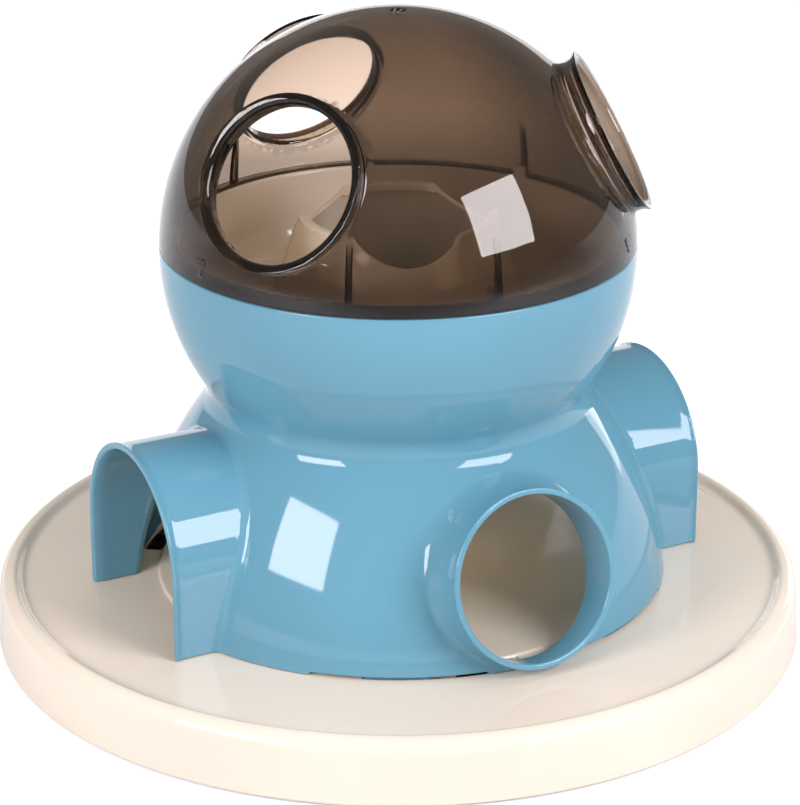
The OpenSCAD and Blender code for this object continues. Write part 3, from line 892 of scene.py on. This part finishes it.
def moulded_plastic(name, colour_value, rough, sheen_of_flow, gloss):
    """Gloss plastic with faint flow clouds, a fine skin and wiped roughness"""
    mat, nodes, links, shader, _ = node_tree(name)
    where = nodes.new("ShaderNodeTexCoord").outputs["Object"]
    cloud = remap(nodes, links, noise(nodes, links, where, FLOW_SCALE, 3), 0, 1)
    dark = tuple(c * (1 - sheen_of_flow) for c in colour_value)
    light = tuple(min(1, c * (1 + sheen_of_flow)) for c in colour_value)
    links.new(tint(nodes, links, cloud, dark, light), shader.inputs["Base Color"])
    wipe = noise(nodes, links, where, WIPE_SCALE, 4, 0.55)
    links.new(remap(nodes, links, wipe, 0.85 * rough, 1.2 * rough), shader.inputs["Roughness"])
    bump(nodes, links, shader, noise(nodes, links, where, SKIN_SCALE, 2), SKIN_BUMP, SKIN_DEPTH)
    shader.inputs["IOR"].default_value = PLASTIC_IOR
    shader.inputs["Specular IOR Level"].default_value = gloss
    return mat


def smoky_plastic(looks):
    """Clear plastic that darkens with its thickness, faintly wiped"""
    mat, nodes, links, shader, output = node_tree("smoky_plastic")
    where = nodes.new("ShaderNodeTexCoord").outputs["Object"]
    shader.inputs["Base Color"].default_value = (0.96, 0.95, 0.94, 1)
    shader.inputs["Transmission Weight"].default_value = 1.0
    shader.inputs["IOR"].default_value = PLASTIC_IOR
    wipe = noise(nodes, links, where, SMOKE_WIPE_SCALE, 6, 0.6)
    links.new(remap(nodes, links, wipe, 0.4 * looks.smoke_rough, 1.6 * looks.smoke_rough),
              shader.inputs["Roughness"])
    bump(nodes, links, shader, noise(nodes, links, where, SMOKE_SKIN_SCALE, 2), 0.02, 0.002)
    soak = nodes.new("ShaderNodeVolumeAbsorption")
    soak.inputs["Color"].default_value = (*looks.smoke, 1)
    soak.inputs["Density"].default_value = looks.smoke_density
    links.new(soak.outputs["Volume"], output.inputs["Volume"])
    return mat


def pad_rubber(looks):
    """Matt rubber with a fine moulded grain"""
    mat, nodes, links, shader, _ = node_tree("foot_rubber")
    where = nodes.new("ShaderNodeTexCoord").outputs["Object"]
    grain = noise(nodes, links, where, GRAIN_SCALE, 5)
    dark = tuple(0.85 * c for c in looks.rubber)
    links.new(tint(nodes, links, grain, dark, tuple(looks.rubber)), shader.inputs["Base Color"])
    links.new(remap(nodes, links, grain, 0.62, 0.8), shader.inputs["Roughness"])
    bump(nodes, links, shader, grain, 0.25, 0.0004)
    return mat


def put(obj, mat, body, slot_name, *nodes):
    """Gives a piece its material and body, and hides the nodes that it stands for; the slot name is not
    used
    """
    obj.data.materials.clear()
    obj.data.materials.append(mat)
    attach(obj, body)
    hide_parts(*nodes)


class TOY_OT_base(bpy.types.Operator):
    """Cream base with its rim, plate, slots and ribs"""
    bl_idname = "treat_toy.base"
    bl_label = "Base"

    def execute(self, context):
        looks = context.scene.treat_toy_looks
        step = mesh_step(context)
        obj = skin("base_moulding", base_field(toy_sizes(context)), 1.2 * step, looks.base_faces)
        mat = moulded_plastic("cream_base_plastic", looks.cream, looks.cream_rough, CREAM_FLOW,
                              looks.cream_gloss)
        put(obj, mat, "base", "cream_plastic", "base_plate")
        return {"FINISHED"}


class TOY_OT_pads(bpy.types.Operator):
    """Six soft foot pads with rounded rims"""
    bl_idname = "treat_toy.pads"
    bl_label = "Foot pads"

    def execute(self, context):
        s = toy_sizes(context)
        mat = pad_rubber(context.scene.treat_toy_looks)
        top = s.pad_lift + s.pad_socket
        rim = [(s.pad_r - PAD_EDGE + PAD_EDGE * math.sin(a), PAD_EDGE - PAD_EDGE * math.cos(a))
               for a in np.linspace(0, math.pi / 2, 6)]
        profile = PAD_DIMPLE + rim + [(s.pad_r, top - 0.3), (s.pad_r - 0.3, top)]
        turns = PAD_TURNS
        for i, az in enumerate(PAD_AZ):
            middle = (s.pad_circle * math.sin(az), -s.pad_circle * math.cos(az))
            verts = []
            faces = []
            for j in range(turns):
                a = 2 * math.pi * j / turns
                for r, z in profile:
                    x = (middle[0] + r * math.cos(a)) * MM
                    y = (middle[1] + r * math.sin(a)) * MM
                    verts.append((x, y, z * MM))
            n = len(profile)
            for j in range(turns):
                k = (j + 1) % turns
                for m in range(n - 1):
                    faces.append((j * n + m, k * n + m, k * n + m + 1, j * n + m + 1))
            faces.append([j * n for j in range(turns)][::-1])
            faces.append([j * n + n - 1 for j in range(turns)])
            mesh = bpy.data.meshes.new(f"foot_pad_rubber_{i + 1}")
            mesh.from_pydata(verts, [], faces)
            mesh.polygons.foreach_set("use_smooth", np.ones(len(faces), bool))
            obj = bpy.data.objects.new(mesh.name, mesh)
            context.scene.collection.objects.link(obj)
            put(obj, mat, "base", "pad_rubber", f"foot_pad_{i + 1}")
        return {"FINISHED"}


class TOY_OT_body(bpy.types.Operator):
    """Blue body with its tunnels, ports, shelf, lugs and hooks"""
    bl_idname = "treat_toy.body"
    bl_label = "Body"

    def execute(self, context):
        looks = context.scene.treat_toy_looks
        step = mesh_step(context)
        s = toy_sizes(context)

        def tunnels(points, normals):
            """Places on the outer side of the arch tunnels"""
            x, y, z = points.T
            outer = y * normals[:, 1] + (z - s.plate_z) * normals[:, 2] > 0
            near = (np.abs(y) < s.arch_w / 2 + FLARE_ROOM) & (z < s.plate_z + s.arch_h + FLARE_ROOM)
            return outer & near & (np.abs(x) > TUNNEL_FROM)

        obj = skin("body_moulding", body_field(s), step, looks.body_faces, tunnels)
        mat = moulded_plastic("blue_body_plastic", looks.blue, looks.blue_rough, BLUE_FLOW,
                              looks.blue_gloss)
        put(obj, mat, "body", "blue_plastic", "body_shell")
        return {"FINISHED"}


class TOY_OT_tray(bpy.types.Operator):
    """Cream treat tray with its trough and notched tower"""
    bl_idname = "treat_toy.tray"
    bl_label = "Treat tray"

    def execute(self, context):
        looks = context.scene.treat_toy_looks
        step = mesh_step(context)
        obj = skin("tray_moulding", tray_field(toy_sizes(context)), step, looks.tray_faces)
        mat = moulded_plastic("cream_tray_plastic", looks.cream, looks.cream_rough, CREAM_FLOW,
                              looks.cream_gloss)
        put(obj, mat, "body", "cream_plastic", "treat_tray")
        return {"FINISHED"}


class TOY_OT_dome(bpy.types.Operator):
    """Smoky dome with its paw ports, plug and gussets"""
    bl_idname = "treat_toy.dome"
    bl_label = "Dome"

    def execute(self, context):
        looks = context.scene.treat_toy_looks
        step = mesh_step(context)
        obj = skin("dome_moulding", dome_field(toy_sizes(context)), 0.85 * step, looks.dome_faces)
        put(obj, smoky_plastic(looks), "dome", "smoke_plastic", "dome")
        return {"FINISHED"}


# Camera: azimuth, place seen from its own side in metres, downward angle in degrees, and lens
CAMERA_AZ = math.radians(-28)
CAMERA_PLACE = (0.00061, -0.95098, 0.46032)
CAMERA_DROP = 21.7791
CAMERA_LENS = 133.15
FLOOR_REACH = 6.0
LIT_MIDDLE = (0, 0, 0.1)
# Floor glow: what the camera sees, and what shows in the plastic's gloss and through the dome
GLOW_COLOUR = (0.93, 0.92, 1.0, 1)
GLOW_SEEN = 0.7
GLOW_MIRRORED = (0.2, 0.85)
GLOW_THROUGH = (4.4, 0.9)
GLOW_FAR = (0.24, 1)
# World: its own light, and what it adds for rays through the dome
WORLD_COLOUR = (1, 0.95, 0.89, 1)
WORLD_LIGHT = 0.33
WORLD_THROUGH = 3.5


def softbox(context, name, place, target, size, power, light=(1, 1, 1)):
    """Rectangular studio lamp that faces a point"""
    data = bpy.data.lights.new(name, "AREA")
    data.shape = "RECTANGLE"
    data.size, data.size_y = size
    data.energy = power
    data.color = light
    lamp = bpy.data.objects.new(name, data)
    context.scene.collection.objects.link(lamp)
    lamp.location = place
    lamp.rotation_euler = (Vector(target) - Vector(place)).to_track_quat("-Z", "Y").to_euler()
    return lamp


def by_camera(az, x, y, z):
    """Point given in metres seen from the camera's side, in the part's frame"""
    return (x * math.cos(az) - y * math.sin(az), x * math.sin(az) + y * math.cos(az), z)


def sums(nodes, links, operation, *values):
    """Maths node on links and numbers"""
    node = nodes.new("ShaderNodeMath")
    node.operation = operation
    for socket, value in zip(node.inputs, values):
        if isinstance(value, float):
            socket.default_value = value
        else:
            links.new(value, socket)
    return node.outputs["Value"]


def lit_floor(looks, base_r):
    """Pale paper that glows round the toy where it is seen, mirrored or looked at through the dome"""
    mat, nodes, links, shader, _ = node_tree("studio_floor")
    where = nodes.new("ShaderNodeTexCoord").outputs["Object"]
    place = nodes.new("ShaderNodeSeparateXYZ")
    links.new(where, place.inputs["Vector"])
    x, y = place.outputs["X"], place.outputs["Y"]
    ahead = remap(nodes, links, y, 0, 1, -1.2, -0.32)
    dark = tuple(0.4 * c for c in looks.floor)
    links.new(tint(nodes, links, ahead, dark, tuple(looks.floor)), shader.inputs["Base Color"])
    links.new(remap(nodes, links, noise(nodes, links, where, 40, 3), 0.8, 1.0), shader.inputs["Roughness"])
    shader.inputs["Specular IOR Level"].default_value = 0.1
    shader.inputs["Emission Color"].default_value = GLOW_COLOUR
    square = sums(nodes, links, "MULTIPLY_ADD", x, x, sums(nodes, links, "MULTIPLY", y, y))
    away = sums(nodes, links, "SQRT", square)
    clear = remap(nodes, links, away, 0, 1, 0.97 * base_r, base_r)
    behind = remap(nodes, links, y, *GLOW_MIRRORED, 0.0, 0.5)
    apart = sums(nodes, links, "ABSOLUTE", sums(nodes, links, "ADD", x, 0.04))
    below = remap(nodes, links, apart, *GLOW_THROUGH, 0.08, 0.15)
    far = remap(nodes, links, y, *GLOW_FAR, 0.55, 0.67)
    below = sums(nodes, links, "MULTIPLY", below, far)
    path = nodes.new("ShaderNodeLightPath").outputs
    through = sums(nodes, links, "MULTIPLY", path["Is Transmission Ray"], below)
    mirrored = sums(nodes, links, "MULTIPLY_ADD", path["Is Glossy Ray"], behind, through)
    seen = sums(nodes, links, "MULTIPLY_ADD", path["Is Camera Ray"], GLOW_SEEN, mirrored)
    links.new(sums(nodes, links, "MULTIPLY", seen, clear), shader.inputs["Emission Strength"])
    return mat


def studio_world():
    """Even studio light, stronger where it comes in through the smoky dome"""
    world = bpy.data.worlds.new("studio")
    world.use_nodes = True
    nodes, links = world.node_tree.nodes, world.node_tree.links
    sky = nodes["Background"]
    sky.inputs["Color"].default_value = WORLD_COLOUR
    path = nodes.new("ShaderNodeLightPath").outputs
    strength = sums(nodes, links, "MULTIPLY_ADD", path["Is Transmission Ray"], WORLD_THROUGH, WORLD_LIGHT)
    links.new(strength, sky.inputs["Strength"])
    return world


class TOY_OT_stage(bpy.types.Operator):
    """Pale floor, soft lamps and the camera"""
    bl_idname = "treat_toy.stage"
    bl_label = "Stage"

    def execute(self, context):
        looks = context.scene.treat_toy_looks
        scene = context.scene
        az = CAMERA_AZ
        data = bpy.data.cameras.new("product_camera")
        data.lens = CAMERA_LENS
        data.sensor_width = 36
        data.clip_end = 20
        camera = bpy.data.objects.new("product_camera", data)
        scene.collection.objects.link(camera)
        camera.location = by_camera(az, *CAMERA_PLACE)
        camera.rotation_euler = (math.radians(90 - CAMERA_DROP), 0, az)
        scene.camera = camera
        mesh = bpy.data.meshes.new("studio_floor")
        size = FLOOR_REACH
        mesh.from_pydata([(-size, -size, 0), (size, -size, 0), (size, size, 0), (-size, size, 0)],
                         [], [(0, 1, 2, 3)])
        floor = bpy.data.objects.new("studio_floor", mesh)
        scene.collection.objects.link(floor)
        floor.rotation_euler = (0, 0, az)
        floor.data.materials.append(lit_floor(looks, scene.treat_toy_sizes.base_r))
        middle = LIT_MIDDLE
        softbox(context, "softbox_right", by_camera(az, 0.659, -0.518, 0.495), middle, (0.46, 0.45), 8.5,
                (1.0, 0.955, 0.985))
        softbox(context, "softbox_left", by_camera(az, -0.607, -0.618, 0.405), middle, (0.42, 0.34), 6.8,
                (1.0, 0.935, 0.955))
        overhead = softbox(context, "overhead", by_camera(az, 0.0, 0.1, 1.6), middle, (1.3, 1.3), 5.5)
        overhead.visible_glossy = False
        softbox(context, "backdrop_strip", by_camera(az, 0.45, 1.9, 0.22), (0, 0, 0.22), (2.0, 0.42), 3.2)
        softbox(context, "rim_right", by_camera(az, 0.66, 0.75, 0.12), middle, (0.22, 0.3), 0.45)
        fill = softbox(context, "back_fill", by_camera(az, -0.3, 1.1, 0.75), middle, (0.9, 0.9), 2.0)
        fill.visible_glossy = False
        fill.visible_transmission = False
        shaft = softbox(context, "shaft_light", (0, 0, 0.104), (0, 0, 0), (0.036, 0.036), 0.014,
                        (1.0, 0.7, 0.34))
        shaft.visible_camera = False
        shaft.visible_glossy = False
        scene.world = studio_world()
        scene.view_settings.view_transform = "Standard"
        scene.view_settings.look = "None"
        return {"FINISHED"}


class TOY_PT_panel(bpy.types.Panel):
    """Sizes, finishes and pieces of the toy"""
    bl_idname = "TOY_PT_panel"
    bl_label = "Treat Toy"
    bl_space_type = "VIEW_3D"
    bl_region_type = "UI"
    bl_category = "Treat Toy"

    def draw(self, context):
        layout = self.layout
        for piece in PIECES:
            layout.operator(piece.bl_idname)
        for group in (context.scene.treat_toy_sizes, context.scene.treat_toy_looks):
            column = layout.column(align=True)
            for prop in group.bl_rna.properties:
                if prop.identifier not in {"rna_type", "name"}:
                    column.prop(group, prop.identifier)


PIECES = (TOY_OT_base, TOY_OT_pads, TOY_OT_body, TOY_OT_tray, TOY_OT_dome, TOY_OT_stage)
CLASSES = (ToySizes, ToyLooks, *PIECES, TOY_PT_panel)


def register():
    """Adds the classes and the two property groups"""
    for cls in CLASSES:
        bpy.utils.register_class(cls)
    bpy.types.Scene.treat_toy_sizes = PointerProperty(type=ToySizes)
    bpy.types.Scene.treat_toy_looks = PointerProperty(type=ToyLooks)


def unregister():
    """Takes away the property groups and the classes"""
    del bpy.types.Scene.treat_toy_looks
    del bpy.types.Scene.treat_toy_sizes
    for cls in reversed(CLASSES):
        bpy.utils.unregister_class(cls)


def main():
    """Builds the pieces and the stage"""
    register()
    bpy.ops.treat_toy.base()
    bpy.ops.treat_toy.pads()
    bpy.ops.treat_toy.body()
    bpy.ops.treat_toy.tray()
    bpy.ops.treat_toy.dome()
    bpy.ops.treat_toy.stage()


if __name__ == "__main__":
    main()
